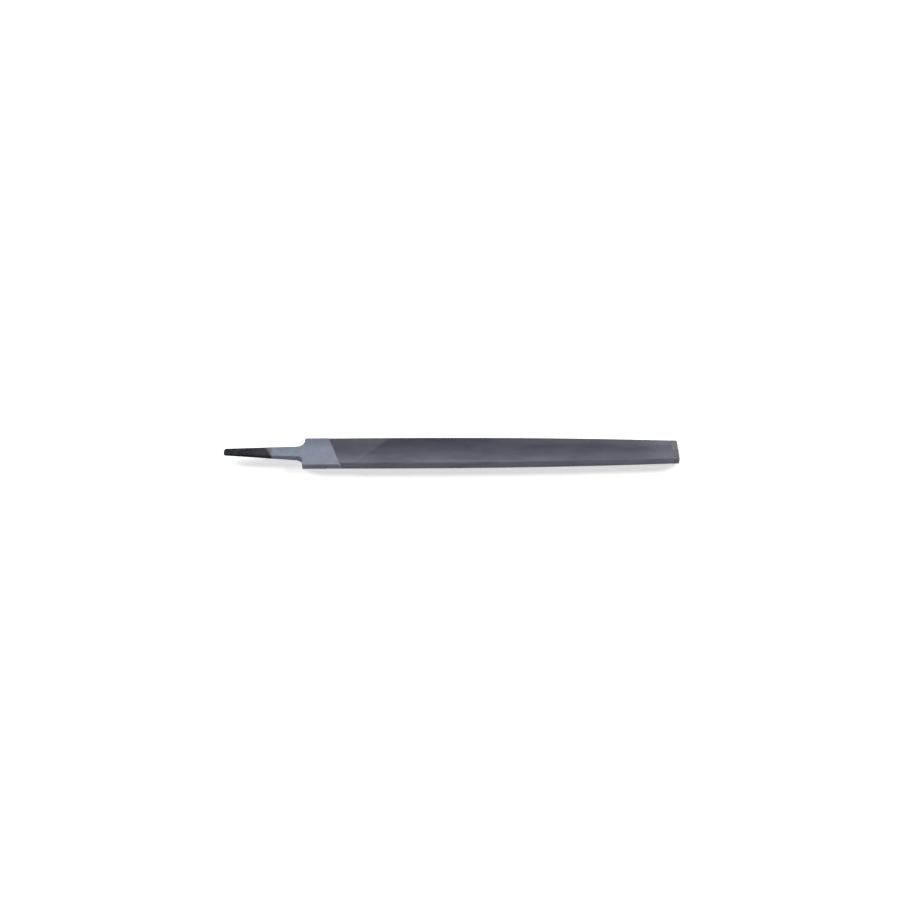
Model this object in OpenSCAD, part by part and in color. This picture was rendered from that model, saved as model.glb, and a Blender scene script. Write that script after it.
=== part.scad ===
// Flat file for metalwork: a bellied blade with toothed faces and edges, a bare heel,
// a blunt point and a drawn tang for a handle. All sizes are in millimetres.
// Modelled with the shoulder at x = 0, the point towards +X and the middle plane at z = 0,
// then set down so that the lower face rests at z = 0 under the middle of the whole length.

/* [Blade] */
// Length from the shoulder to the point, by which a file is sold
blade_l = 300; // [250:5:400]
// Width at the widest place, over the crests of the edge teeth
blade_w = 30.6; // [28:0.1:36]
// Width at the shoulder
heel_w = 29.6; // [26:0.1:34]
// Width at the point
point_w = 22.5; // [16:0.1:26]
// Distance of the widest place from the shoulder
widest_at = 85; // [50:1:150]
// Thickness from the shoulder to where the blade starts to thin
blade_t = 7; // [6.2:0.1:9]
// Thickness at the point
point_t = 5.7; // [4.6:0.1:6]
// Distance from the shoulder to where the blade starts to thin
thin_from = 150; // [60:1:200]

/* [Heel and point] */
// Length of the bare heel, measured on the middle line
heel_l = 24.5; // [16:0.5:40]
// Chamfer along the four corners of the heel
heel_break = 0.3; // [0.3:0.1:2]
// Length of the bare end at the point
point_l = 5; // [3:0.5:10]
// Chamfer round the end face of the point
point_break = 0.6; // [0.2:0.1:1.2]

/* [Face teeth] */
// Lean of the rows of teeth away from square across the blade
row_lean = 20; // [8:1:30]
// Distance from one row of teeth to the next, square to the rows
row_pitch = 1.1; // [0.9:0.05:2]
// Depth from the crest of a tooth to its root
tooth_depth = 0.42; // [0.3:0.01:0.7]
// Length of the steep front of a tooth, square to the rows
tooth_front = 0.16; // [0.08:0.01:0.4]
// Height by which a face falls from its middle line to its sides
face_fall = 0.25; // [0.05:0.01:0.35]
// Steel under the roots at the sides, down to the core
tooth_backing = 0.35; // [0.2:0.01:0.5]

/* [Edge teeth] */
// Distance from one edge tooth to the next
edge_pitch = 1; // [0.8:0.05:2]
// Depth from the crest of an edge tooth to its root
edge_depth = 0.3; // [0.2:0.01:0.6]
// Length of the steep front of an edge tooth
edge_front = 0.15; // [0.08:0.01:0.4]
// Steel behind the edge roots, in to the core
edge_backing = 0.2; // [0.15:0.01:0.8]
// Lean of the line where the edge teeth start, away from upright
edge_lean = 25; // [0:1:35]

/* [Tang] */
// Length from the shoulder to the end of the tang
tang_l = 64.5; // [45:0.5:90]
// Width of the tang where it meets the shoulder
tang_root_w = 12.3; // [9:0.1:15]
// Width of the tang at its end
tang_end_w = 7.1; // [4:0.1:8.5]
// Thickness of the tang where it meets the shoulder
tang_root_t = 5.2; // [4:0.1:5.8]
// Thickness of the tang at its end
tang_end_t = 1.6; // [1.4:0.1:3.4]
// Length of the bright part of the tang, from the shoulder to the scorched end
tang_bright_l = 28; // [15:0.5:40]
// Radius of the two hollows between tang and shoulder, seen from above
shoulder_r = 6; // [3:0.1:8]
// Radius of the two ramps from the tang up to the heel, seen from the side
ramp_r = 8; // [5:0.5:12]
// Chamfer along the corners of the tang
tang_break = 0.2; // [0.2:0.05:0.6]

/* [Hidden] */
$fn = 96;

// Extra length by which a cutting or clipping body passes the steel
over = 1;
// Half the reach of bodies that only clip, well past the blade on every side
reach = blade_l;
// Straight steps in which the long curves of the blade are drawn, up to the chamfer at its end
curve_steps = 32;
curve_x = [for (i = [0:curve_steps]) (blade_l - point_break) * i / curve_steps];

// Where the teeth end and the bare point starts
cut_end = blade_l - point_l;
// Where the edge teeth start: past the near end of the slanted heel line
edge_start = heel_l + blade_w / 2 * tan(row_lean);
// Where the leaning line of that start has come down through the whole thickness
edge_full = edge_start + blade_t * tan(edge_lean);
// The slanted heel line, measured square to the rows
row_start = heel_l * cos(row_lean);
// Last crest that can touch the toothed part of a face
row_end = cut_end * cos(row_lean) + blade_w / 2 * sin(row_lean);
row_count = ceil((row_end - row_start) / row_pitch);
edge_count = ceil((cut_end - edge_start) / edge_pitch);

// Depth of the roots at the sides of a face, below the crests on its middle line
row_drop = face_fall + tooth_depth;
// Band along each edge that holds the edge teeth
edge_band = edge_depth + edge_backing;
// Thickness of the core between the two toothed faces
core_t = point_t - 2 * (row_drop + tooth_backing);

// Slopes of the tang: both sides narrow, and it thins from below, so that its top stays level
tang_side_slope = atan((tang_root_w - tang_end_w) / 2 / tang_l);
tang_under_slope = atan((tang_root_t - tang_end_t) / tang_l);

// Half the blade's width, bellied from the shoulder through the widest place to the point
function half_width(x) =
    x < widest_at
    ? (blade_w - (blade_w - heel_w) * pow((widest_at - x) / widest_at, 2)) / 2
    : (blade_w - (blade_w - point_w) * pow((x - widest_at) / (blade_l - widest_at), 2)) / 2;

// Half the blade's thickness, level at first and then falling in a curve to the point
function half_thickness(x) =
    x < thin_from
    ? blade_t / 2
    : (blade_t - (blade_t - point_t) * pow((x - thin_from) / (blade_l - thin_from), 2)) / 2;

// Half the tang's width, and the height of its underside, at x from -tang_l to 0
function tang_half_width(x) = tang_root_w / 2 + x * tan(tang_side_slope);
function tang_under(x) = -tang_root_t / 2 - x * tan(tang_under_slope);

// One side of the blade's outline from above and from the side, drawn in by inset
function plan_side(inset) = concat(
    [for (x = curve_x) [x, half_width(x) - inset]],
    [[blade_l, half_width(blade_l) - point_break - inset]]
);
function height_side(inset) = concat(
    [for (x = curve_x) [x, half_thickness(x) - inset]],
    [[blade_l, half_thickness(blade_l) - point_break - inset]]
);

// A side followed by its own mirror image, back to where it started
function closed(side) = concat(side, [for (i = [len(side) - 1:-1:0]) [side[i].x, -side[i].y]]);

// Point i of a row of saw teeth: a crest at its start, then a steep front down to its root
function saw(start, pitch, front, i) = start + floor(i / 2) * pitch + (i % 2) * front;

module set_down() {
    translate([(tang_l - blade_l) / 2, 0, blade_t / 2]) children();
}

// Box that clips a stretch of the blade between two places along it and two heights
module stretch(x_from, x_to, z_from = -reach, z_to = reach) {
    translate([x_from, -reach, z_from]) cube([x_to - x_from, 2 * reach, z_to - z_from]);
}

// Upright prism of the blade's outline from above, drawn in by inset on both sides
module plan_prism(inset = 0) {
    linear_extrude(2 * reach, center = true) polygon(closed(plan_side(inset)));
}

// Level prism of the blade's outline from the side, drawn in by inset above and below
module side_prism(inset = 0) {
    rotate([90, 0, 0]) linear_extrude(2 * reach, center = true) polygon(closed(height_side(inset)));
}

// The blade before any teeth are cut
module blank() {
    intersection() {
        plan_prism();
        side_prism();
    }
}

// Bar along a lengthwise corner, at side and top of -1 or 1, that cuts a chamfer of that size
module corner_break(from, to, side, top, size) {
    line = to - from;
    translate((from + to) / 2)
        rotate([0, acos(line.z / norm(line)), atan2(line.y, line.x)])
            rotate(atan2(side, -top))
                translate([-size / sqrt(2), -2 * size, -norm(line) / 2 - over])
                    cube([2 * size, 4 * size, norm(line) + 2 * over]);
}

// Everything past the slanted heel line, turned to lie along the rows
module past_heel_line() {
    rotate(row_lean) translate([row_start, -reach, -reach]) cube(2 * reach);
}

// Everything on the front half past the leaning line where the front edge teeth start
module past_edge_line() {
    translate([edge_start, 0, blade_t / 2])
        rotate([0, -edge_lean, 0])
            translate([0, -reach, -reach]) cube([2 * reach, reach, 2 * reach]);
}

// The room that the upper teeth take: above the core, between the edges, past the heel line
module face_room() {
    intersection() {
        plan_prism(edge_band);
        past_heel_line();
        stretch(0, cut_end, core_t / 2, blade_t);
    }
}

// The corners beside the upper rows, past the heel line, where the rows run out over the edges
module row_ends() {
    intersection() {
        past_heel_line();
        stretch(0, edge_full + over, blade_t / 2 - row_drop, blade_t);
    }
}

// The saw profile of the upper rows along the middle line, as [x, z] closed at mid-thickness.
// The crests follow the blade's thickness, and each steep front faces the point.
row_profile = concat(
    [[heel_l, 0]],
    [
        for (i = [0:2 * row_count + 1])
            let (x = saw(row_start, row_pitch, tooth_front, i) / cos(row_lean))
                [x, half_thickness(x) - (i % 2) * tooth_depth]
    ],
    [[saw(row_start, row_pitch, tooth_front, 2 * row_count + 1) / cos(row_lean), 0]]
);

// That profile carried sideways to y along the leaning rows, falling away from the middle line
function rows_at(y) = [
    for (p = row_profile) [p.x - y * tan(row_lean), y, p.y - face_fall * abs(y) / (blade_w / 2)]
];

// The upper rows of teeth, from past one side of the blade over the middle line to past the other
module face_rows() {
    n = len(row_profile);
    polyhedron(
        points = concat(rows_at(-blade_w), rows_at(0), rows_at(blade_w)),
        faces = concat(
            [[for (i = [0:n - 1]) i]],
            [
                for (k = [0, n], i = [0:n - 1])
                    let (j = (i + 1) % n)
                        [k + i, k + n + i, k + n + j, k + j]
            ],
            [[for (i = [n - 1:-1:0]) 2 * n + i]]
        )
    );
}

module face_teeth() {
    intersection() {
        face_rows();
        face_room();
    }
}

// One toothed edge: upright teeth along the belly, with their steep fronts towards the point
module edge_teeth() {
    teeth = [
        for (i = [2 * edge_count + 1:-1:0])
            let (x = saw(edge_start, edge_pitch, edge_front, i))
                [x, -half_width(x) + (i % 2) * edge_depth]
    ];
    inner = [for (p = plan_side(edge_band)) [p.x, -p.y]];
    intersection() {
        linear_extrude(2 * reach, center = true)
            polygon(concat(inner, [[blade_l, -half_width(blade_l)]], teeth));
        side_prism(row_drop);
        past_edge_line();
        stretch(0, cut_end);
    }
}

// Wedge in the corner between the shoulder and a tang side that slopes up to [0, base],
// less a round that touches the side. The wedge starts where they touch and ends at height top.
module hollow(base, slope, r, centre_x, top) {
    foot = centre_x + r * sin(slope);
    difference() {
        translate([foot, 0]) square([-foot, top]);
        translate([centre_x, base + centre_x * tan(slope) + r / cos(slope)]) circle(r);
    }
}

// Hollow seen from above, at +y, whose round also touches the shoulder
module shoulder_hollow() {
    base = tang_root_w / 2;
    slope = tang_side_slope;
    top = base + shoulder_r * (1 / cos(slope) - tan(slope));
    hollow(base, slope, shoulder_r, -shoulder_r, top);
}

// Ramp seen from the side, at +z, whose round runs out at the edge of the heel's face
module ramp(slope) {
    base = tang_root_t / 2;
    top = blade_t / 2;
    fall = tan(slope);
    drop = base + ramp_r / cos(slope) - top;
    square_sum = 1 + fall * fall;
    centre_x = -(fall * drop + sqrt(square_sum * ramp_r * ramp_r - drop * drop)) / square_sum;
    hollow(base, slope, ramp_r, centre_x, top);
}

// Outline of the tang from above, with the corners of its end taken off
module tang_plan() {
    end_side = [
        [0, tang_half_width(0)],
        [-tang_l + tang_break, tang_half_width(-tang_l + tang_break)],
        [-tang_l, tang_half_width(-tang_l) - tang_break]
    ];
    polygon(closed(end_side));
    shoulder_hollow();
    mirror([0, 1]) shoulder_hollow();
}

// Outline of the tang from the side, with the corners of its end taken off
module tang_side() {
    top = tang_root_t / 2;
    polygon([
        [0, top], [-tang_l + tang_break, top], [-tang_l, top - tang_break],
        [-tang_l, tang_under(-tang_l) + tang_break],
        [-tang_l + tang_break, tang_under(-tang_l + tang_break)], [0, tang_under(0)]
    ]);
    ramp(0);
    mirror([0, 1]) ramp(tang_under_slope);
}

// One long corner of the tang at x, at side -1 or 1, on its top or its underside
function tang_corner(x, side, top) =
    [x, side * tang_half_width(x), top > 0 ? tang_root_t / 2 : tang_under(x)];

module whole_tang() {
    difference() {
        intersection() {
            linear_extrude(2 * reach, center = true) tang_plan();
            rotate([90, 0, 0]) linear_extrude(2 * reach, center = true) tang_side();
        }
        for (side = [-1, 1], top = [-1, 1])
            corner_break(
                tang_corner(-tang_l, side, top), tang_corner(-shoulder_r, side, top), side, top, tang_break
            );
    }
}

module tang_point() {
    color("#2b2d33")
        set_down()
            intersection() {
                whole_tang();
                stretch(-tang_l, -tang_bright_l);
            }
}

module tang() {
    color("#8790a0")
        set_down()
            intersection() {
                whole_tang();
                stretch(-tang_bright_l, 0);
            }
}

module heel() {
    color("#8b8e9f")
        set_down()
            difference() {
                intersection() {
                    blank();
                    stretch(0, edge_full);
                }
                intersection() {
                    plan_prism(edge_band);
                    stretch(heel_l, edge_full + over, -core_t / 2, core_t / 2);
                }
                for (turn = [0, 180])
                    rotate([turn, 0, 0]) {
                        face_room();
                        row_ends();
                        past_edge_line();
                    }
                for (side = [-1, 1], top = [-1, 1])
                    corner_break(
                        [0, side * half_width(0), top * half_thickness(0)],
                        [edge_full, side * half_width(edge_full), top * half_thickness(edge_full)],
                        side, top, heel_break
                    );
            }
}

module blade_core() {
    color("#5c5e69")
        set_down()
            intersection() {
                plan_prism(edge_band);
                stretch(heel_l, cut_end, -core_t / 2, core_t / 2);
            }
}

module upper_face_teeth() {
    color("#585a66") set_down() face_teeth();
}

module lower_face_teeth() {
    color("#585a66") set_down() rotate([180, 0, 0]) face_teeth();
}

module front_edge_teeth() {
    color("#50525c") set_down() edge_teeth();
}

module back_edge_teeth() {
    color("#50525c") set_down() rotate([180, 0, 0]) edge_teeth();
}

module point() {
    color("#6b6b72")
        set_down()
            intersection() {
                blank();
                stretch(cut_end, blade_l);
            }
}

tang_point();
tang();
heel();
blade_core();
upper_face_teeth();
lower_face_teeth();
front_edge_teeth();
back_edge_teeth();
point();
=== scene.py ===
"""Looks of a bare flat file for metalwork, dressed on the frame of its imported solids.

The two faces carry a true double cut and the two edges a single cut. The tang, heel and point
are copies of their solids, with rounded corners, flats on the heel and forged or ground surfaces.

The classes measure as a file maker does, in millimetres: x from the shoulder towards the
point, y across the blade and z up from the middle plane. Blade.to_row carries a finished
mesh into the row's frame, in metres.
"""
import logging
import math
from dataclasses import dataclass
from enum import Enum
from typing import Any

import bmesh
import bpy
from mathutils import Matrix, Vector, noise


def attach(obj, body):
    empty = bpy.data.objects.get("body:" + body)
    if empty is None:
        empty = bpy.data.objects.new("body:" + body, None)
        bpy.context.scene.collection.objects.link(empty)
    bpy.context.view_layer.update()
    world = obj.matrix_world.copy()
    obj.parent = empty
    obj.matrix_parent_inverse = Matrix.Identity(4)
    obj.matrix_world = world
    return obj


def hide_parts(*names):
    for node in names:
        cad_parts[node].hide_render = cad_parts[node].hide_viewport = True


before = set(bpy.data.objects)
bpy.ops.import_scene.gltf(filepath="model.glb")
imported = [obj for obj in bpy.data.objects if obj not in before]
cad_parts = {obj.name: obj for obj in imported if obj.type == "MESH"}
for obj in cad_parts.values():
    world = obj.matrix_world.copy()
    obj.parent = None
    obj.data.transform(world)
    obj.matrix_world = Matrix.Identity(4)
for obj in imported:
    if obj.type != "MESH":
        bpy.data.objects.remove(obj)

LOG = logging.getLogger("flat_file")
# One millimetre in metres
MM = 0.001
# The shortest edge that a finished mesh keeps, in millimetres
SHORTEST_EDGE = 0.001


class Side(Enum):
    """The side of the blade that a toothed piece is on, as half turns about its length.

    A lower face is an upper one turned over, and a back edge a front one.
    """

    UPPER_FRONT = 0
    LOWER_BACK = 1

    @property
    def turn(self) -> Matrix:
        """The turn about the blade's length that brings a piece to this side."""
        return Matrix.Rotation(math.pi * self.value, 4, "X")


def linear(colour: str) -> tuple[float, float, float, float]:
    """Turns an sRGB colour into the linear one that a shader takes.

    Args:
        colour: Six hex digits after a hash sign.

    Returns:
        Linear red, green, blue and an alpha of 1.
    """
    parts = [int(colour[i:i + 2], 16) / 255 for i in (1, 3, 5)]
    r, g, b = (p / 12.92 if p <= 0.04045 else ((p + 0.055) / 1.055) ** 2.4 for p in parts)
    return r, g, b, 1.0


def add(
    tree: bpy.types.NodeTree, kind: str, settings: dict[str, Any], inputs: dict[Any, Any]
) -> bpy.types.Node:
    """Adds one node with its settings, its values and its links.

    Args:
        tree: The node tree that gets the node.
        kind: The node's type, without ShaderNode.
        settings: The node's own properties by name.
        inputs: A value, or the output socket that feeds it, by the input's name or number.

    Returns:
        The new node.
    """
    node = tree.nodes.new("ShaderNode" + kind)
    for name, value in settings.items():
        setattr(node, name, value)
    for name, value in inputs.items():
        if isinstance(value, bpy.types.NodeSocket):
            tree.links.new(value, node.inputs[name])
        else:
            node.inputs[name].default_value = value
    return node


def ramp(
    tree: bpy.types.NodeTree, value: bpy.types.NodeSocket, start: float, end: float,
    low: float = 0.0, high: float = 1.0, soft: bool = True,
) -> bpy.types.NodeSocket:
    """Adds a ramp from one value to another.

    Args:
        tree: The node tree that gets the ramp.
        value: What the ramp follows.
        start: Where it starts to rise.
        end: Where it has risen.
        low: What it gives up to the start.
        high: What it gives past the end.
        soft: Whether it eases in and out.

    Returns:
        What the ramp gives.
    """
    kind = "SMOOTHSTEP" if soft else "LINEAR"
    return add(tree, "MapRange", {"interpolation_type": kind}, {
        "Value": value, "From Min": start, "From Max": end, "To Min": low, "To Max": high,
    }).outputs["Result"]


def mix(
    tree: bpy.types.NodeTree, share: bpy.types.NodeSocket, first: Any, second: Any, blend: str = "MIX"
) -> bpy.types.NodeSocket:
    """Adds a mix of two colours.

    Args:
        tree: The node tree that gets the mix.
        share: How much of the second colour shows.
        first: The colour below, linear or from a socket.
        second: The colour over it, linear or from a socket.
        blend: How the second colour is laid over the first.

    Returns:
        The mixed colour.
    """
    return add(tree, "Mix", {"data_type": "RGBA", "blend_type": blend}, {
        "Factor": share, "A": first, "B": second,
    }).outputs["Result"]


def speckle(
    tree: bpy.types.NodeTree, place: bpy.types.NodeSocket, size: tuple[float, float, float], detail: float
) -> bpy.types.NodeSocket:
    """Adds a soft random pattern.

    Args:
        tree: The node tree that gets the pattern.
        place: The Object coordinates.
        size: The size of its patches along x, y and z, in millimetres.
        detail: How many layers of finer patches lie over them.

    Returns:
        The pattern, with values around 0.5.
    """
    scaled = add(tree, "Mapping", {}, {"Vector": place, "Scale": [1 / (s * MM) for s in size]})
    return add(tree, "TexNoise", {}, {
        "Vector": scaled.outputs["Vector"], "Scale": 1.0, "Detail": detail,
    }).outputs["Fac"]


def start_metal(name: str) -> tuple[bpy.types.Material, bpy.types.NodeTree, bpy.types.NodeSocket]:
    """Starts the material of a bare metal surface.

    Args:
        name: The metal, and how its surface was made.

    Returns:
        The material, its node tree and the Object coordinates in it.
    """
    material = bpy.data.materials.new(name)
    material.use_nodes = True
    tree = material.node_tree
    tree.nodes["Principled BSDF"].inputs["Metallic"].default_value = 1.0
    return material, tree, add(tree, "TexCoord", {}, {}).outputs["Object"]


def finish_metal(
    tree: bpy.types.NodeTree, tone: bpy.types.NodeSocket, pattern: bpy.types.NodeSocket,
    roughness: tuple[float, float], relief: tuple[float, float],
) -> None:
    """Gives a metal its colour, and its sheen and fine relief from one pattern.

    Args:
        tree: The metal's node tree.
        tone: Its colour.
        pattern: What its sheen and relief follow.
        roughness: Its roughness where the pattern is 0 and where it is 1.
        relief: The strength of the relief, and its height in millimetres.
    """
    strength, height = relief
    bump = add(tree, "Bump", {}, {"Height": pattern, "Strength": strength, "Distance": height * MM})
    shader = tree.nodes["Principled BSDF"]
    tree.links.new(tone, shader.inputs["Base Color"])
    tree.links.new(ramp(tree, pattern, 0.0, 1.0, *roughness, soft=False), shader.inputs["Roughness"])
    tree.links.new(bump.outputs["Normal"], shader.inputs["Normal"])


def cut_through(
    bm: bmesh.types.BMesh, place: Vector, out: Vector, clear: bool = True, snap: float = 1e-5
) -> list[bmesh.types.BMEdge]:
    """Cuts a mesh through along a plane.

    Args:
        bm: The mesh.
        place: A place on the plane.
        out: The direction square to the plane.
        clear: Whether everything on that side is taken off.
        snap: How near to the plane a vertex counts as on it.

    Returns:
        The edges along the cut.
    """
    made = bmesh.ops.bisect_plane(
        bm, geom=bm.verts[:] + bm.edges[:] + bm.faces[:], dist=snap,
        plane_co=place, plane_no=out, clear_outer=clear,
    )["geom_cut"]
    return [g for g in made if isinstance(g, bmesh.types.BMEdge)]


def mesh_object(bm: bmesh.types.BMesh, name: str, to_row: Matrix) -> bpy.types.Object:
    """Turns a finished bmesh into an object at the origin, with its place in its mesh.

    Args:
        bm: The mesh in millimetres, which is freed.
        name: The name of the object and its mesh.
        to_row: The way from the mesh's own frame to the row's frame.

    Returns:
        The object, linked to the scene.
    """
    bmesh.ops.dissolve_degenerate(bm, dist=SHORTEST_EDGE, edges=bm.edges)
    bmesh.ops.transform(bm, matrix=to_row, verts=bm.verts)
    mesh = bpy.data.meshes.new(name)
    bm.to_mesh(mesh)
    bm.free()
    piece = bpy.data.objects.new(name, mesh)
    bpy.context.scene.collection.objects.link(piece)
    return piece


def dress(piece: bpy.types.Object, material: bpy.types.Material, slot: str, *nodes: str) -> None:
    """Gives a piece its material and its place in the row.

    Args:
        piece: The finished piece.
        material: The material of its whole surface.
        slot: The name of a material slot in the record; not used.
        *nodes: The solids that it stands for.
    """
    piece.data.materials.append(material)
    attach(piece, "root")
    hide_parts(*nodes)
    LOG.info("%s: %d faces, for %s", piece.name, len(piece.data.polygons), ", ".join(nodes))


@dataclass(frozen=True)
class Blade:
    """Sizes of the blade that several pieces share, and the curves that it follows.

    The widths and thicknesses are those of the solids. The corner_round and corner_drop
    ease each face down into its edges, over the last millimetres of its width. From
    painted_light_middle on, the fields say how the teeth are painted lighter towards one side
    and along the rims, which is painted light, and how use has burnished them near the point.
    """

    length: float = 300.0
    width: float = 30.6
    heel_width: float = 29.6
    point_width: float = 22.5
    widest_at: float = 85.0
    thickness: float = 7.0
    point_thickness: float = 5.7
    thin_from: float = 150.0
    tang_length: float = 64.5
    tang_bright: float = 28.0
    heel_length: float = 24.5
    heel_chamfer: float = 0.3
    point_length: float = 5.0
    row_lean: float = 20.0
    tooth_depth: float = 0.42
    face_fall: float = 0.1
    edge_band: float = 0.36
    edge_lean: float = 25.0
    core_thickness: float = 3.66
    corner_round: float = 1.0
    corner_drop: float = 0.06
    painted_light_middle: float = 0.43
    front_fade: float = 0.65
    rim_width: float = 10.0
    painted_rim_highlight: float = 0.25
    end_length: float = 28.0
    end_rise: float = 18.7
    end_wear: float = 0.33

    @property
    def cut_end(self) -> float:
        """Where the teeth end and the bare point starts."""
        return self.length - self.point_length

    @property
    def edge_start(self) -> float:
        """Where the edge teeth start, past the near end of the slanted heel line."""
        return self.heel_length + self.width / 2 * math.tan(math.radians(self.row_lean))

    @property
    def to_row(self) -> Matrix:
        """The way from the blade's millimetres to the row's frame in metres."""
        rest = Vector(((self.tang_length - self.length) / 2, 0, self.thickness / 2)) * MM
        return Matrix.Translation(rest) @ Matrix.Scale(MM, 4)

    def half_width(self, x: float) -> float:
        """Gives half the bellied width.

        Args:
            x: The place along the blade.

        Returns:
            Half the width there, over the crests of the edge teeth.
        """
        if x < self.widest_at:
            share = (self.widest_at - x) / self.widest_at
            return (self.width - (self.width - self.heel_width) * share ** 2) / 2
        share = (x - self.widest_at) / (self.length - self.widest_at)
        return (self.width - (self.width - self.point_width) * share ** 2) / 2

    def half_thickness(self, x: float) -> float:
        """Gives half the thickness at x, level at first and then falling to the point."""
        share = max(0.0, x - self.thin_from) / (self.length - self.thin_from)
        return (self.thickness - (self.thickness - self.point_thickness) * share ** 2) / 2

    def fall(self, x: float, y: float) -> float:
        """Gives how far a crowned face lies below its own middle line.

        Args:
            x: The place along the blade.
            y: The place across it.

        Returns:
            The drop in millimetres, which grows fast beside the edges.
        """
        corner = abs(y) - (self.half_width(x) - self.corner_round)
        eased = self.corner_drop * (max(0.0, corner) / self.corner_round) ** 2
        return self.face_fall * (2 * y / self.width) ** 2 + eased

    def wear_and_painted_light(self, x: float, y: float) -> float:
        """Gives how light a face is painted: towards one side and along the rims as painted light, and near
        the point where use has burnished it.

        Args:
            x: The place along the blade.
            y: The place across it.

        Returns:
            The painted light and wear, from 0 at the darker side to 1 and more at the lighter one.
            Past the widest place the two sides become more alike.
        """
        along = max(0.0, (x - self.widest_at) / (self.cut_end - self.widest_at))
        fade = along if y > 0 else self.front_fade * along
        # Painted light: each face is lighter towards its own front side and darker towards its back.
        across = self.painted_light_middle - (1 - fade) * y / self.width
        # Painted highlight along both rims of each face.
        rim = max(0.0, 1 - (self.half_width(x) - abs(y)) / self.rim_width)
        end = min(1.0, max(0.0, x - self.cut_end + self.end_length) / self.end_rise)
        return across + self.painted_rim_highlight * rim + self.end_wear * end


@dataclass(frozen=True)
class ToothedFace:
    """One wide face with its double cut, as a closed layer over the core.

    The first cut makes rows of saw teeth that lean over the blade. The over-cut crosses them
    the other way with shallower grooves, and parts each row into single pointed teeth. It
    starts further from the heel, along one of its own grooves.
    """

    blade: Blade
    side: Side
    row_pitch: float = 1.1
    row_front: float = 0.16
    over_angle: float = 47.0
    over_pitch: float = 1.35
    over_front: float = 0.45
    over_depth: float = 0.26
    over_start: float = 54.5
    over_burr: float = 0.13
    single_cut_painted_light: float = 0.4
    single_shift: float = 0.17
    trim_steps: int = 24

    def build(self, name: str) -> bpy.types.Object:
        """Builds the layer: a folded sheet of teeth, trimmed to the blade and given a body.

        Args:
            name: The name of the piece.

        Returns:
            The finished piece.
        """
        bm = bmesh.new()
        self._fold_sheet(bm)
        self._trim(bm)
        rim = bmesh.ops.extrude_edge_only(bm, edges=[e for e in bm.edges if e.is_boundary])["geom"]
        for vert in (g for g in rim if isinstance(g, bmesh.types.BMVert)):
            vert.co.z = self.blade.core_thickness / 2
        bmesh.ops.edgeloop_fill(bm, edges=[e for e in bm.edges if e.is_boundary])
        bmesh.ops.recalc_face_normals(bm, faces=bm.faces)
        return mesh_object(bm, name, self.blade.to_row @ self.side.turn)

    def _fold_sheet(self, bm: bmesh.types.BMesh) -> None:
        """Lays a grid along the two cuts and folds it into teeth.

        Every second line of the grid is a crest and the next one the root behind it.

        Args:
            bm: The empty mesh that gets the sheet.
        """
        blade = self.blade
        lean, over = math.radians(blade.row_lean), math.radians(self.over_angle)
        half = blade.width / 2
        row_from = blade.heel_length * math.cos(lean)
        row_to = blade.cut_end * math.cos(lean) + half * math.sin(lean)
        rows = 2 * math.ceil((row_to - row_from) / self.row_pitch)
        over_from = self.over_start * math.sin(over)
        back = math.ceil((over_from + half * math.cos(over)) / self.over_pitch)
        on = math.ceil((blade.cut_end * math.sin(over) + half * math.cos(over) - over_from) / self.over_pitch)
        grooves = 2 * (back + on)
        bmesh.ops.create_grid(bm, x_segments=rows, y_segments=grooves, size=1)
        depth = bm.verts.layers.float.new("tooth_depth")
        wear_and_painted_light = bm.verts.layers.float.new("wear_and_painted_light")
        for vert in bm.verts:
            i, j = round((vert.co.x + 1) / 2 * rows), round((vert.co.y + 1) / 2 * grooves)
            u = row_from + i // 2 * self.row_pitch + i % 2 * self.row_front
            o = over_from + (j // 2 - back) * self.over_pitch + j % 2 * self.over_front
            x = (u * math.cos(over) + o * math.sin(lean)) / math.cos(lean - over)
            y = (u * math.sin(over) - o * math.cos(lean)) / math.cos(lean - over)
            groove = self.over_depth if j % 2 and j // 2 >= back else 0.0
            drop = max(i % 2 * blade.tooth_depth, groove)
            vert[depth] = drop / blade.tooth_depth
            # Painted light: in the single cut the tone is lifted, and the difference across the face is
            # smaller.
            single = self.single_cut_painted_light * (y / blade.width + self.single_shift) * (j // 2 < back)
            vert[wear_and_painted_light] = blade.wear_and_painted_light(x, y) + single + self.over_burr * (j // 2 == back)
            vert.co = x, y, blade.half_thickness(u / math.cos(lean)) - blade.fall(x, y) - drop
        spare = 2 * self.row_pitch + self.over_pitch
        bmesh.ops.delete(bm, geom=[
            v for v in bm.verts
            if v.co.x > blade.cut_end + spare or abs(v.co.y) > blade.half_width(v.co.x) + spare
        ], context="VERTS")

    def _trim(self, bm: bmesh.types.BMesh) -> None:
        """Cuts the sheet back to the bellied outline between the two toothed edges.

        Args:
            bm: The mesh that holds the sheet.
        """
        blade = self.blade
        cuts = [(Vector((blade.cut_end, 0, 0)), Vector((1, 0, 0)))]
        stations = [blade.length * i / self.trim_steps for i in range(self.trim_steps + 1)]
        for x_from, x_to in zip(stations, stations[1:]):
            start = Vector((x_from, blade.half_width(x_from) - blade.edge_band, 0))
            end = Vector((x_to, blade.half_width(x_to) - blade.edge_band, 0))
            out = Vector((start.y - end.y, x_to - x_from, 0))
            cuts += [(start, out), (start * Vector((1, -1, 1)), out * Vector((1, -1, 1)))]
        for place, out in cuts:
            cut_through(bm, place, out)


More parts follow.
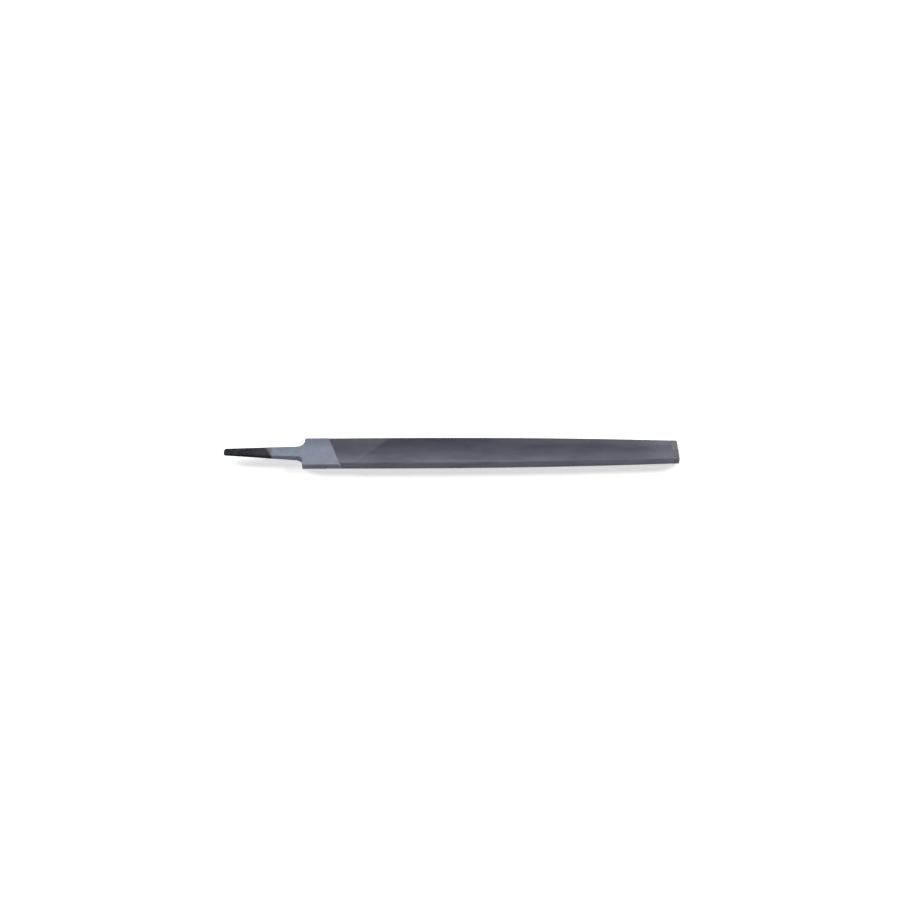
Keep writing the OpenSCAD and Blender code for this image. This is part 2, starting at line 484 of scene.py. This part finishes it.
@dataclass(frozen=True)
class ToothedEdge:
    """One narrow edge with its single cut: upright teeth along the belly."""

    blade: Blade
    side: Side
    pitch: float = 1.0
    front: float = 0.15
    depth: float = 0.3
    corner_round: float = 0.2
    wear_and_painted_light: float = 1.0
    oil: float = 0.25

    def build(self, name: str) -> bpy.types.Object:
        """Builds the edge from a bar that is shaped as a saw and starts along a leaning line.

        Args:
            name: The name of the piece.

        Returns:
            The finished piece.
        """
        blade = self.blade
        count = 2 * math.ceil((blade.cut_end - blade.edge_start) / self.pitch)
        bm = bmesh.new()
        # Until its vertices are placed, the bar is a cube from -1 to 1.
        bmesh.ops.create_cube(bm, size=2)
        for axis, cuts in ((0, count - 1), (2, 2)):
            split = [e for e in bm.edges if abs(e.verts[0].co[axis] - e.verts[1].co[axis]) > 1]
            bmesh.ops.subdivide_edges(bm, edges=split, cuts=cuts, use_grid_fill=True)
        depth = bm.verts.layers.float.new("tooth_depth")
        wear_and_painted_light = bm.verts.layers.float.new("wear_and_painted_light")
        for vert in bm.verts:
            i = round((vert.co.x + 1) / 2 * count)
            x = min(blade.edge_start + i // 2 * self.pitch + i % 2 * self.front, blade.cut_end)
            high = blade.half_thickness(x) - blade.tooth_depth - blade.face_fall - blade.corner_drop
            rim = abs(vert.co.z) > 0.9
            z = math.copysign(high if rim else high - self.corner_round, vert.co.z)
            drop = max(i % 2 * self.depth, rim * self.corner_round / 2)
            outer = vert.co.y < 0
            vert[depth] = self.oil * drop / self.depth if outer else 1.0
            vert[wear_and_painted_light] = self.wear_and_painted_light
            vert.co = x, -blade.half_width(x) + (drop if outer else blade.edge_band), z
        lean = math.radians(blade.edge_lean)
        start = Vector((blade.edge_start, 0, blade.thickness / 2))
        opening = cut_through(bm, start, Vector((-math.cos(lean), 0, -math.sin(lean))))
        bmesh.ops.edgeloop_fill(bm, edges=opening)
        bmesh.ops.recalc_face_normals(bm, faces=bm.faces)
        return mesh_object(bm, name, blade.to_row @ self.side.turn)


@dataclass(frozen=True)
class UncutPart:
    """A part of the forging that has no teeth, made from a copy of its solid.

    The copy is merged, sliced into small pieces, worked a little out of true and rounded along
    its outer corners. Where it meets another part of the forging it stays as it is. A sloping
    flat may be ground off its front upper corner and, turned over, off its back lower one. It
    is given by three places that it passes through, clockwise as seen from the front. Corners
    within seam_reach of a seam stay sharp, and so do those whose faces have no air at the
    distance of the probe.
    """

    blade: Blade
    node: str
    seams: tuple[float, ...]
    flat: tuple[tuple[float, float, float], ...] = ()
    merge_reach: float = 0.01
    merge_angle: float = 1.0
    corner: float = 0.3
    corner_steps: int = 3
    slice_x: float = 2.5
    slice_y: float = 2.0
    slice_snap: float = 0.02
    crown: float = 0.0
    worn: float = 0.0
    slant: float = 0.0
    end_radius: float = math.inf
    wave_height: float = 0.0
    wave_length: float = 9.0
    sharp_angle: float = 20.0
    smooth_angle: float = 36.0
    seam_reach: float = 0.05
    probe: float = 0.3

    def build(self, name: str) -> bpy.types.Object:
        """Builds the part from its solid.

        Args:
            name: The name of the piece.

        Returns:
            The finished piece.
        """
        bm = bmesh.new()
        bm.from_mesh(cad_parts[self.node].data)
        bmesh.ops.transform(bm, matrix=self.blade.to_row.inverted(), verts=bm.verts)
        bmesh.ops.remove_doubles(bm, verts=bm.verts, dist=self.merge_reach)
        bmesh.ops.dissolve_limit(
            bm, angle_limit=math.radians(self.merge_angle), verts=bm.verts, edges=bm.edges,
        )
        if self.flat:
            self._grind_flats(bm)
        self._slice(bm)
        self._work(bm)
        sharp = [e for e in bm.edges if self._is_corner(e)]
        bmesh.ops.bevel(
            bm, geom=sharp, offset=self.corner, affect="EDGES", segments=self.corner_steps,
            profile=0.5, material=-1, clamp_overlap=True,
        )
        for face in bm.faces:
            face.smooth = True
        for edge in bm.edges:
            edge.smooth = edge.calc_face_angle(0) < math.radians(self.smooth_angle)
        return mesh_object(bm, name, self.blade.to_row)

    def _grind_flats(self, bm: bmesh.types.BMesh) -> None:
        """Grinds the sloping flats off two corners that lie across from each other.

        Args:
            bm: The merged copy of the solid.
        """
        first, second, third = (Vector(place) for place in self.flat)
        out = (third - first).cross(second - first)
        for side in Side:
            cut_through(bm, side.turn @ first, side.turn @ out)
            bmesh.ops.edgeloop_fill(bm, edges=[e for e in bm.edges if e.is_boundary])

    def _slice(self, bm: bmesh.types.BMesh) -> None:
        """Divides every face along and across the part, so that it can be worked.

        Args:
            bm: The merged copy of the solid.
        """
        for axis, step in ((0, self.slice_x), (1, self.slice_y)):
            places = [v.co[axis] for v in bm.verts]
            count = math.ceil((max(places) - min(places)) / step)
            for i in range(1, count):
                place, across = Vector((0, 0, 0)), Vector((0, 0, 0))
                place[axis] = min(places) + (max(places) - min(places)) * i / count
                across[axis] = 1
                cut_through(bm, place, across, clear=False, snap=self.slice_snap)

    def _work(self, bm: bmesh.types.BMesh) -> None:
        """Crowns and wears the part, shapes its end and leaves the waves of hammer and stone.

        Args:
            bm: The sliced copy of the solid.
        """
        bm.normal_update()
        for vert in bm.verts:
            near = min((abs(vert.co.x - seam) for seam in self.seams), default=math.inf)
            free = min(1.0, near / self.wave_length)
            wave = 0.5 + noise.noise(vert.co / self.wave_length) / 2
            vert.co -= vert.normal * self.wave_height * wave * free
            vert.co -= self.worn * Vector((0, vert.normal.y, vert.normal.z))
            vert.co.x -= self.slant * (0.5 - vert.co.y / self.blade.point_width) * free
            vert.co.x += vert.co.y ** 2 / (2 * self.end_radius) * free
            drop = self.crown * (2 * vert.co.y / self.blade.width) ** 2
            vert.co.z -= drop * vert.co.z / (self.blade.thickness / 2)

    def _is_corner(self, edge: bmesh.types.BMEdge) -> bool:
        """Tells whether an edge is an outer corner that gets rounded.

        Args:
            edge: An edge of the worked copy.

        Returns:
            True for a corner on the outside of the file, away from the seams.
        """
        if edge.calc_face_angle(0) < math.radians(self.sharp_angle):
            return False
        if any(all(abs(v.co.x - seam) < self.seam_reach for v in edge.verts) for seam in self.seams):
            return False
        return all(self._is_outside(face) for face in edge.link_faces)

    def _is_outside(self, face: bmesh.types.BMFace) -> bool:
        """Tells whether a face is on the outside of the file and not against its teeth.

        Args:
            face: A face of the worked copy.

        Returns:
            True if the air is on its other side.
        """
        out = face.calc_center_median() + self.probe * face.normal
        if not 0 < out.x < self.blade.length:
            return True
        room_y = self.blade.half_width(out.x) - abs(out.y)
        room_z = self.blade.half_thickness(out.x) - self.crown - abs(out.z)
        return min(room_y, room_z) < 0 or room_y + room_z < self.blade.heel_chamfer - self.crown


@dataclass(frozen=True)
class CutSteel:
    """Hardened tool steel, cut with a chisel and oiled.

    The eye sees a dark, slightly blue grey. It is painted lighter towards one side of each face
    and along its rims, which is painted light, and it is lighter near the point, where use has
    burnished the teeth. Oil stays dark between them, and the tone drifts in soft clouds that
    were wiped lengthwise.
    """

    keen_and_shaded: str = "#545660"
    keen_and_shaded_until: float = 0.1
    burnished_and_lit: str = "#94949f"
    oiled: str = "#b0b2b8"
    cloud: str = "#e6e8ee"
    cloud_length: float = 34.0
    cloud_width: float = 8.0
    cloud_rise: tuple[float, float] = (0.4, 0.7)
    grain_size: float = 0.5
    roughness: tuple[float, float] = (0.34, 0.5)
    relief: tuple[float, float] = (0.25, 0.02)

    def build(self) -> bpy.types.Material:
        """Builds the material.

        Returns:
            A material that reads Object coordinates, the wear and the depth in the teeth.
        """
        material, tree, place = start_metal("hardened_steel_chisel_cut")
        # Painted light and wear: lighter towards one side and along the rims as painted light, and near the
        # point as wear.
        wear_and_painted_light = add(tree, "Attribute", {"attribute_name": "wear_and_painted_light"}, {}).outputs["Fac"]
        worn = ramp(tree, wear_and_painted_light, self.keen_and_shaded_until, 1.0, soft=False)
        tone = mix(tree, worn, linear(self.keen_and_shaded), linear(self.burnished_and_lit))
        depth = add(tree, "Attribute", {"attribute_name": "tooth_depth"}, {}).outputs["Fac"]
        tone = mix(tree, depth, tone, linear(self.oiled), "MULTIPLY")
        clouds = speckle(tree, place, (self.cloud_length, self.cloud_width, self.cloud_width), detail=3.0)
        cloudy = ramp(tree, clouds, *self.cloud_rise)
        tone = mix(tree, cloudy, tone, linear(self.cloud), "MULTIPLY")
        grain = speckle(tree, place, (self.grain_size,) * 3, detail=2.0)
        finish_metal(tree, tone, grain, self.roughness, self.relief)
        return material


@dataclass(frozen=True)
class GroundSteel:
    """Tool steel ground flat on a stone and left bare.

    The eye sees a satin, slightly violet grey with faint lines across the blade from the
    stone and soft paler patches. It is painted darker towards the back edge, as painted shade.
    """

    name: str = "tool_steel_ground"
    base: str = "#898e9e"
    patch: str = "#9599a7"
    line: str = "#7e8393"
    painted_back_shade: str = "#747b8a"
    painted_shade_from: float = -2.0
    painted_shade_to: float = 13.0
    patch_size: float = 7.0
    patch_rise: tuple[float, float] = (0.4, 0.7)
    patch_share: float = 0.6
    line_width: float = 0.6
    line_length: float = 14.0
    line_rise: tuple[float, float] = (0.45, 0.75)
    line_share: float = 0.7
    roughness: tuple[float, float] = (0.18, 0.34)
    relief: tuple[float, float] = (0.2, 0.03)

    def build(self) -> bpy.types.Material:
        """Builds the material.

        Returns:
            A material that reads Object coordinates.
        """
        material, tree, place = start_metal(self.name)
        patches = speckle(tree, place, (self.patch_size,) * 3, detail=4.0)
        patchy = ramp(tree, patches, *self.patch_rise, high=self.patch_share)
        tone = mix(tree, patchy, linear(self.base), linear(self.patch))
        # Real grinding lines are about 0.1 mm apart. They are drawn coarser, so that they show.
        lines = speckle(tree, place, (self.line_width, self.line_length, self.line_width), detail=3.0)
        lined = ramp(tree, lines, *self.line_rise, high=self.line_share, soft=False)
        tone = mix(tree, lined, tone, linear(self.line))
        # Painted light and shade: the tone changes towards the back edge.
        across = add(tree, "SeparateXYZ", {}, {"Vector": place}).outputs["Y"]
        painted_shading = ramp(tree, across, self.painted_shade_from * MM, self.painted_shade_to * MM)
        tone = mix(tree, painted_shading, tone, linear(self.painted_back_shade))
        finish_metal(tree, tone, lines, self.roughness, self.relief)
        return material


@dataclass(frozen=True)
class TemperBand:
    """One temper colour: where it starts on the middle line, how softly, and at what slant."""

    colour: str
    start: float
    blend: float
    slant: float


@dataclass(frozen=True)
class HeatTintedSteel:
    """Forged steel whose end was softened in a flame after hardening.

    The eye sees black scale on the end, then brown and straw temper colours, and past them the
    plain blue-grey of the forged tang with soft stains. The flame reached further along the
    front side, so the bands slant and the straw one narrows.
    """

    blade: Blade
    scale: str = "#26282e"
    flake: str = "#43464f"
    brown: TemperBand = TemperBand("#3f3c44", -40.0, 14.0, 0.35)
    straw: TemperBand = TemperBand("#78757a", -28.6, 3.4, 0.7)
    plain: TemperBand = TemperBand("#8993a2", -26.0, 2.4, 0.1)
    stain: str = "#eceef0"
    wander: float = 2.0
    patch_size: float = 6.0
    stain_rise: tuple[float, float] = (0.35, 0.65)
    flake_size: float = 2.2
    flake_rise: tuple[float, float] = (0.45, 0.75)
    roughness: tuple[float, float] = (0.3, 0.55)
    relief: tuple[float, float] = (0.3, 0.05)

    def build(self) -> bpy.types.Material:
        """Builds the material.

        Returns:
            A material whose bands follow Object coordinates along the tang.
        """
        material, tree, place = start_metal("forged_steel_heat_tinted")
        axes = add(tree, "SeparateXYZ", {}, {"Vector": place})
        patches = speckle(tree, place, (self.patch_size,) * 3, detail=3.0)
        shift = ramp(tree, patches, 0.0, 1.0, -self.wander * MM, self.wander * MM, soft=False)
        along = add(tree, "Math", {"operation": "ADD"}, {0: axes.outputs["X"], 1: shift})
        flakes = speckle(tree, place, (self.flake_size,) * 3, detail=5.0)
        flaky = ramp(tree, flakes, *self.flake_rise, soft=False)
        tone = mix(tree, flaky, linear(self.scale), linear(self.flake))
        shoulder = self.blade.to_row.translation.x
        for band in (self.brown, self.straw, self.plain):
            slanted = add(tree, "Math", {"operation": "MULTIPLY_ADD"}, {
                0: axes.outputs["Y"], 1: band.slant, 2: along.outputs["Value"],
            })
            start = shoulder + (band.start - band.blend / 2) * MM
            reached = ramp(tree, slanted.outputs["Value"], start, start + band.blend * MM)
            tone = mix(tree, reached, tone, linear(band.colour))
        stained = ramp(tree, patches, *self.stain_rise)
        tone = mix(tree, stained, tone, linear(self.stain), "MULTIPLY")
        finish_metal(tree, tone, flakes, self.roughness, self.relief)
        return material


@dataclass(frozen=True)
class File:
    """The whole file: its blade, and the finishes that its pieces wear."""

    blade: Blade
    cut: CutSteel
    ground: GroundSteel
    worn: GroundSteel
    tinted: HeatTintedSteel

    def build(self) -> None:
        """Builds and dresses every piece, and gives the hidden core its material."""
        blade = self.blade
        tinted, ground, worn, cut = (f.build() for f in (self.tinted, self.ground, self.worn, self.cut))
        bright = -blade.tang_bright
        tang_point = UncutPart(
            blade, "tang_point", (bright,), corner=0.12, end_radius=7.0, wave_height=0.1,
        )
        dress(tang_point.build("drawn_tang_end"), tinted, "scorched_steel", "tang_point")
        tang = UncutPart(blade, "tang", (bright, 0.0), corner=0.12, wave_height=0.1)
        dress(tang.build("forged_tang"), tinted, "tang_steel", "tang")
        heel = UncutPart(
            blade, "heel", (), flat=((0.0, -14.8, 1.4), (0.0, -12.7, 3.5), (33.3, -15.1, 1.8)), corner=0.12,
        )
        dress(heel.build("ground_heel"), ground, "heel_steel", "heel")
        point = UncutPart(
            blade, "point", (blade.cut_end,), corner=0.25, slice_x=1.2,
            crown=0.1, worn=0.25, slant=0.45, wave_height=0.05, wave_length=blade.point_length,
        )
        dress(point.build("worn_point"), worn, "point_steel", "point")
        for side, face_name, edge_name in (
            (Side.UPPER_FRONT, "upper", "front"), (Side.LOWER_BACK, "lower", "back"),
        ):
            face = ToothedFace(blade, side).build(face_name + "_double_cut")
            dress(face, cut, "cut_steel", face_name + "_face_teeth")
            edge = ToothedEdge(blade, side).build(edge_name + "_single_cut")
            dress(edge, cut, "cut_steel", edge_name + "_edge_teeth")
        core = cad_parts["blade_core"]
        core.data.materials.clear()
        core.data.materials.append(cut)
        LOG.info("blade_core: kept as its solid, under the teeth")


@dataclass(frozen=True)
class Studio:
    """Pale floor, soft light and the camera, set as in the photograph.

    The camera's angles and its target, in millimetres on the floor, put the file where it
    lies in a square picture. The floor's size is in metres.
    """

    elevation: float = 41.529
    azimuth: float = -1.701
    roll: float = -1.374
    target: tuple[float, float, float] = (-0.414, 7.425, 0.0)
    distance: float = 1010.6
    lens: float = 50.0
    sensor: float = 36.0
    floor_size: float = 8.0
    floor_colour: str = "#ededed"
    floor_glow: float = 0.63
    floor_mirrored_colour: str = "#999999"
    floor_mirrored_glow: float = 0.38
    tent_colour: str = "#ffffff"
    lamp_elevation: float = 13.8
    lamp_azimuths: tuple[float, float] = (-57.0, 57.0)
    lamp_spread: float = 28.0
    lamp_strength: float = 5.2
    ambient: float = 0.06

    def build(self) -> None:
        """Builds the floor, the lights and the camera."""
        self._floor()
        self._light()
        self._camera()

    def _rays(self, tree: bpy.types.NodeTree) -> tuple[bpy.types.NodeSocket, bpy.types.NodeSocket]:
        """Adds what tells rays that look at the white studio from those that light the file.

        Args:
            tree: The node tree of the floor or the world.

        Returns:
            A socket that is 1 for rays from the camera, and one for rays in reflections and
            through glass.
        """
        path = add(tree, "LightPath", {}, {})
        mirrored = add(tree, "Math", {"operation": "MAXIMUM"}, {
            0: path.outputs["Is Glossy Ray"], 1: path.outputs["Is Transmission Ray"],
        })
        return path.outputs["Is Camera Ray"], mirrored.outputs["Value"]

    def _floor(self) -> None:
        """Lays the matt floor, white where no shadow falls and dimmer in the file's reflections."""
        bm = bmesh.new()
        bmesh.ops.create_grid(bm, x_segments=1, y_segments=1, size=self.floor_size / 2)
        floor = mesh_object(bm, "floor", Matrix.Identity(4))
        paper = bpy.data.materials.new("matt_white_paper")
        paper.use_nodes = True
        tree = paper.node_tree
        tree.nodes.remove(tree.nodes["Principled BSDF"])
        direct, mirrored = self._rays(tree)
        colour = mix(tree, mirrored, linear(self.floor_colour), linear(self.floor_mirrored_colour))
        matt = add(tree, "BsdfDiffuse", {}, {"Color": colour})
        dim = add(tree, "Math", {"operation": "MULTIPLY"}, {0: mirrored, 1: self.floor_mirrored_glow})
        glow = add(tree, "Math", {"operation": "MULTIPLY_ADD"}, {
            0: direct, 1: self.floor_glow, 2: dim.outputs["Value"],
        })
        white = add(tree, "Emission", {}, {"Strength": glow.outputs["Value"]})
        both = add(tree, "AddShader", {}, {0: matt.outputs["BSDF"], 1: white.outputs["Emission"]})
        tree.links.new(both.outputs["Shader"], tree.nodes["Material Output"].inputs["Surface"])
        floor.data.materials.append(paper)

    def _light(self) -> None:
        """Sets a white tent and two low wide lamps, whose shadows cross in front of the file."""
        scene = bpy.context.scene
        scene.world = bpy.data.worlds.new("white_tent")
        scene.world.use_nodes = True
        tree = scene.world.node_tree
        direct, mirrored = self._rays(tree)
        seen = add(tree, "Math", {"operation": "MAXIMUM"}, {0: direct, 1: mirrored})
        strength = ramp(tree, seen.outputs["Value"], 0.0, 1.0, low=self.ambient, soft=False)
        sky = tree.nodes["Background"]
        sky.inputs["Color"].default_value = linear(self.tent_colour)
        tree.links.new(strength, sky.inputs["Strength"])
        up = math.radians(self.lamp_elevation)
        for azimuth in self.lamp_azimuths:
            side = math.radians(azimuth)
            lamp = bpy.data.lights.new("low_lamp", "SUN")
            lamp.energy = self.lamp_strength
            lamp.angle = math.radians(self.lamp_spread)
            away = Vector((math.sin(side) * math.cos(up), math.cos(side) * math.cos(up), math.sin(up)))
            holder = bpy.data.objects.new("low_lamp", lamp)
            holder.location = away
            holder.rotation_euler = away.to_track_quat("Z", "Y").to_euler()
            holder.visible_glossy = False
            scene.collection.objects.link(holder)

    def _camera(self) -> None:
        """Sets the camera at the photograph's viewing angle."""
        scene = bpy.context.scene
        scene.view_settings.view_transform = "Standard"
        up, side = math.radians(self.elevation), math.radians(self.azimuth)
        ahead = Vector((math.sin(side) * math.cos(up), math.cos(side) * math.cos(up), -math.sin(up)))
        right = ahead.cross(Vector((0, 0, 1))).normalized()
        turned = Matrix((right, right.cross(ahead), -ahead)).transposed()
        data = bpy.data.cameras.new("camera")
        data.lens, data.sensor_width = self.lens, self.sensor
        camera = bpy.data.objects.new("camera", data)
        place = Matrix.Translation((Vector(self.target) - self.distance * ahead) * MM)
        roll = Matrix.Rotation(math.radians(self.roll), 4, "Z")
        camera.matrix_world = place @ turned.to_4x4() @ roll
        scene.collection.objects.link(camera)
        scene.camera = camera


def main() -> None:
    """Builds the file and its studio."""
    logging.basicConfig(level=logging.INFO, format="%(message)s")
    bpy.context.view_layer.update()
    blade = Blade()
    whole = File(
        blade, CutSteel(), GroundSteel(),
        GroundSteel(
            # On the point the painted back tone is a neutral grey, a little lighter than its base.
            name="hardened_steel_worn", base="#6e6d76", patch="#8b8a91", line="#5f5f68", painted_back_shade="#76757b",
            patch_size=2.5,
        ),
        HeatTintedSteel(blade),
    )
    whole.build()
    Studio().build()


if __name__ == "__main__":
    main()
